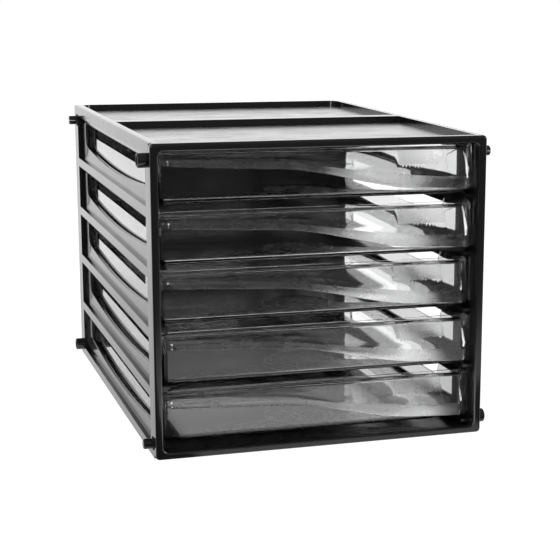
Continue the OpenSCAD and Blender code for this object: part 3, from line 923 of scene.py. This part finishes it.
def make_drawer_mesh(look, lip, length_y, height, *materials):
    """One drawer's mesh, made once and set down five times"""
    tray = drawer_tray(look, length_y, height, *materials)
    combine(tray, "DIFFERENCE", side_cutter(look, length_y, height))
    bm = opened(tray.data)
    flatten(bm)
    rim = [e for e in sharp_edges(bm) if min(v.co.z for v in e.verts) > look.side_height - look.drop_round]
    bevel(bm, rim, look.rim, 3)
    put_back(bm, tray.data)

    shell = wrapped_solid("lip", lip.stations(lip.half, lip.look.end), lip.outer, *materials)
    inner_half = lip.half - lip.look.wall
    hollow = wrapped_solid("lip_hollow", lip.stations(inner_half, lip.look.end - lip.look.wall), lip.inner)
    combine(shell, "DIFFERENCE", hollow)
    satin_band(shell, lip)
    label = label_frame(lip, *materials)
    for part in (shell, label):
        part.data.transform(Matrix.Translation((0, 0, height)))
    combine(tray, "UNION", shell, floor_ring(look), label)
    mesh = tray.data
    middle = Vector((-look.ring_left, look.ring_back))
    for polygon in mesh.polygons:
        near = (polygon.center.to_2d() - middle).length < look.ring / 2 - look.line
        if near and polygon.normal.z > FACES_SQUARE and abs(polygon.center.z - look.wall) < WELD:
            polygon.material_index = 1
    bpy.data.objects.remove(tray)
    return mesh


class TOWER_OT_drawers(bpy.types.Operator):
    """Model the five clear drawers"""
    bl_idname = "tower.drawers"
    bl_label = "Drawers"

    def execute(self, context):
        look = context.scene.tower_drawer
        lip_look = context.scene.tower_lip
        low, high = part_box(DRAWERS[0])
        out = lip_look.out
        length_y = high.y - low.y - out
        height = high.z - low.z
        lip = Lip(lip_look, (high.x - low.x) / 2, out, look.half_width, look.corner)
        clear = clear_plastic("clear_wall", look, look.haze)
        satin = clear_plastic("satin_band", look, look.satin)
        mesh = make_drawer_mesh(look, lip, length_y, height, clear, satin)
        for node in DRAWERS:
            low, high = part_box(node)
            copy = mesh.copy()
            copy.name = "clear_" + node
            copy.transform(Matrix.Translation(((low.x + high.x) / 2, low.y + out, low.z)))
            piece = bpy.data.objects.new("clear_" + node, copy)
            context.scene.collection.objects.link(piece)
            settle(piece, node)
        bpy.data.meshes.remove(mesh)
        return {"FINISHED"}


# ---------------------------------------------------------------- stage

def add_lamp(name, place, aim, size, radiance):
    """A softbox whose brightness per area stays the same at any size"""
    lamp = bpy.data.lights.new(name, "AREA")
    lamp.shape = "RECTANGLE"
    lamp.size, lamp.size_y = size
    lamp.energy = radiance * pi * size[0] * size[1]
    holder = bpy.data.objects.new(name, lamp)
    holder.location = place
    holder.rotation_euler = (Vector(aim) - Vector(place)).to_track_quat("-Z", "Y").to_euler()
    holder.visible_camera = False
    bpy.context.scene.collection.objects.link(holder)


def math_node(tree, operation, a, b):
    """A math node of two sockets or numbers, as its output socket"""
    node = add_node(tree, "Math", {0: a, 1: b})
    node.operation = operation
    return node.outputs[0]


def coordinates(tree, output):
    """The x, y and z sockets of a texture coordinate"""
    place = add_node(tree, "TexCoord", {}).outputs[output]
    return add_node(tree, "SeparateXYZ", {0: place}).outputs


def both(tree, a, b):
    return math_node(tree, "MULTIPLY", a, b)


def either(tree, a, b):
    return math_node(tree, "MAXIMUM", a, b)


def mixed(tree, factor, a, b):
    """A number between a and b"""
    return add_node(tree, "Mix", {"Factor": factor, "A": a, "B": b}).outputs["Result"]


ROOM = 0.2               # brightness of the room in reflections
BACKDROP = 1.42          # brightness of the backdrop in reflections
FILL = 0.7               # brightness all round on matt surfaces
TABLE_GLOW = 0.88        # brightness that the camera sees on the table besides its lit grey
TABLE_GREY = 0.3

# Fades, each from one place to another and from one brightness to another. The world's places are parts of
# a direction, and the table's are metres. The table's glow that only reflections see is painted light: a
# painted reflection, darker in front and lighter behind, with painted shade, black, left and right of the
# strip before the tower.
BACKDROP_BEHIND = (0.5, 0.85, 0.0, 1.0)
BACKDROP_LOW = (0.2, 0.35, 1.0, 0.0)
TABLE_AHEAD = (-0.7, -0.36, 0.08, 0.85)
TABLE_FAR_AHEAD = (-1.1, -0.6, 0.3, 1.0)
# Painted shade: in reflections the strip before the tower is lit, and the table left and right of it is
# black
STRIP_LEFT = (-0.105, -0.09, 0.0, 1.0)
STRIP_RIGHT = (0.13, 0.145, 1.0, 0.0)
RIGHT_BLACK_END = (-0.36, -0.3, 1.0, 0.0)
STRIP_BACK = (-0.19, -0.17, 0.0, 1.0)
TABLE_BEHIND = (-0.1, 0.3, 1.0, 1.15)
TABLE_FAR_BEHIND = (0.3, 0.95, 1.0, 1.28)


def make_world(scene):
    """White for the camera; a pale backdrop low behind and a darker room all round for reflections"""
    scene.world = bpy.data.worlds.new("studio")
    scene.world.use_nodes = True
    tree = scene.world.node_tree
    tree.nodes.clear()
    path = add_node(tree, "LightPath", {}).outputs
    _, y, z = coordinates(tree, "Generated")
    behind = both(tree, ramp(tree, y, *BACKDROP_BEHIND), ramp(tree, z, *BACKDROP_LOW))
    unseen = mixed(tree, path["Is Diffuse Ray"], mixed(tree, behind, ROOM, BACKDROP), FILL)
    strength = mixed(tree, path["Is Camera Ray"], unseen, 1.0)
    background = add_node(tree, "Background", {"Color": (1, 1, 1, 1), "Strength": strength})
    add_node(tree, "OutputWorld", {"Surface": background.outputs[0]})


def make_floor():
    """A pale table top; for reflections it glows with a painted reflection, dark in front and lighter
    behind, with painted shade left and right of the strip before the tower
    """
    bm = bmesh.new()
    bmesh.ops.create_grid(bm, x_segments=1, y_segments=1, size=4)
    move(bm, bm.verts, (0, 0, -HAIR))
    material = bpy.data.materials.new("pale_table")
    material.use_nodes = True
    tree = material.node_tree
    tree.nodes.clear()
    path = add_node(tree, "LightPath", {}).outputs
    matt = add_node(tree, "BsdfDiffuse", {"Color": (TABLE_GREY, TABLE_GREY, TABLE_GREY, 1)})
    glow = add_node(tree, "Emission", {"Strength": both(tree, path["Is Camera Ray"], TABLE_GLOW)})
    lit = add_node(tree, "AddShader", {0: glow.outputs[0], 1: matt.outputs[0]})

    # Painted reflection and painted shade: the glow's strength, set by place on the table
    x, y, _ = coordinates(tree, "Object")
    painted_fade_ahead = both(tree, ramp(tree, y, *TABLE_AHEAD), ramp(tree, y, *TABLE_FAR_AHEAD))
    # Painted shade: the glow is kept only in the strip before the tower and behind the tower, and is black
    # elsewhere
    right = either(tree, ramp(tree, x, *STRIP_RIGHT), ramp(tree, y, *RIGHT_BLACK_END))
    strip = both(tree, ramp(tree, x, *STRIP_LEFT), right)
    painted_lit_area = either(tree, strip, ramp(tree, y, *STRIP_BACK))
    behind = both(tree, ramp(tree, y, *TABLE_BEHIND), ramp(tree, y, *TABLE_FAR_BEHIND))
    # The painted reflection: a glow that only reflection and transmission rays see
    mirrored = add_node(tree, "Emission", {"Strength": both(tree, both(tree, painted_fade_ahead, painted_lit_area), behind)})
    unseen = either(tree, path["Is Glossy Ray"], path["Is Transmission Ray"])
    choose = add_node(tree, "MixShader", {0: unseen, 1: lit.outputs[0], 2: mirrored.outputs[0]})
    add_node(tree, "OutputMaterial", {"Surface": choose.outputs[0]})
    as_object(bm, "table", material)


def view_turn(azimuth, elevation, roll):
    """Camera turn that looks from an azimuth and elevation, then rolled"""
    a, e, r = radians(azimuth), radians(elevation), radians(roll)
    back = Vector((sin(a) * cos(e), -cos(a) * cos(e), sin(e)))
    across = Vector((0, 0, 1)).cross(back).normalized()
    up = back.cross(across)
    x = across * cos(r) + up * sin(r)
    y = up * cos(r) - across * sin(r)
    return Matrix((x, y, back)).transposed().to_4x4()


FRAME_PX = 560
FOCAL_PX = 1533.36
CENTRE_PX = (357.13, 323.36)
CAMERA_PLACE = (-0.33542, -1.26223, 0.34736)
CAMERA_TURN = (-18.53, 12.51, 0.43)


def make_camera(scene):
    camera = bpy.data.cameras.new("view")
    camera.sensor_width = 36
    camera.lens = camera.sensor_width * FOCAL_PX / FRAME_PX
    camera.shift_x = (FRAME_PX / 2 - CENTRE_PX[0]) / FRAME_PX
    camera.shift_y = (CENTRE_PX[1] - FRAME_PX / 2) / FRAME_PX
    camera.clip_start = 0.05
    holder = bpy.data.objects.new("view", camera)
    holder.matrix_world = Matrix.Translation(CAMERA_PLACE) @ view_turn(*CAMERA_TURN)
    scene.collection.objects.link(holder)
    scene.camera = holder


class TOWER_OT_stage(bpy.types.Operator):
    """Set up the table, the light and the camera"""
    bl_idname = "tower.stage"
    bl_label = "Stage"

    def execute(self, context):
        scene = context.scene
        scene.view_settings.view_transform = "Standard"
        scene.cycles.max_bounces = 32
        scene.cycles.transmission_bounces = 28
        scene.cycles.glossy_bounces = 8
        scene.cycles.diffuse_bounces = 3
        make_world(scene)
        make_floor()
        make_camera(scene)
        tower = (0, 0, 0.1)
        add_lamp("table_in_front", place=(0.015, -0.265, MM), aim=(0.015, -0.265, 1), size=(0.23, 0.13),
                 radiance=1.1)
        add_lamp("front_left", place=(-1.1, -1.3, 0.7), aim=tower, size=(0.25, 0.9), radiance=12)
        add_lamp("front_right", place=(1.25, -1.1, 0.6), aim=tower, size=(0.4, 0.8), radiance=12)
        return {"FINISHED"}


# ---------------------------------------------------------------- panel and start

STEPS = (TOWER_OT_flat_panels, TOWER_OT_side_panels, TOWER_OT_front_frame, TOWER_OT_link_pins,
         TOWER_OT_drawers, TOWER_OT_stage)


class TOWER_PT_panel(bpy.types.Panel):
    """Lists the tower's pieces and their sizes"""
    bl_label = "Drawer tower"
    bl_idname = "TOWER_PT_panel"
    bl_space_type = "VIEW_3D"
    bl_region_type = "UI"
    bl_category = "Drawer tower"

    def draw(self, context):
        for step in STEPS:
            self.layout.operator(step.bl_idname)
        for group in (context.scene.tower_cabinet, context.scene.tower_drawer, context.scene.tower_lip):
            box = self.layout.box()
            for name in group.bl_rna.properties.keys():
                if name not in ("rna_type", "name"):
                    box.prop(group, name)


GROUPS = {"tower_cabinet": CabinetLook, "tower_drawer": DrawerLook, "tower_lip": LipLook}


def register():
    for group in GROUPS.values():
        bpy.utils.register_class(group)
    for name, group in GROUPS.items():
        setattr(bpy.types.Scene, name, bpy.props.PointerProperty(type=group))
    for cls in STEPS + (TOWER_PT_panel,):
        bpy.utils.register_class(cls)


def unregister():
    for cls in (TOWER_PT_panel,) + STEPS[::-1]:
        bpy.utils.unregister_class(cls)
    for name, group in GROUPS.items():
        delattr(bpy.types.Scene, name)
        bpy.utils.unregister_class(group)


def main():
    register()
    bpy.ops.tower.flat_panels()
    bpy.ops.tower.side_panels()
    bpy.ops.tower.front_frame()
    bpy.ops.tower.link_pins()
    bpy.ops.tower.drawers()
    bpy.ops.tower.stage()


if __name__ == "__main__":
    main()
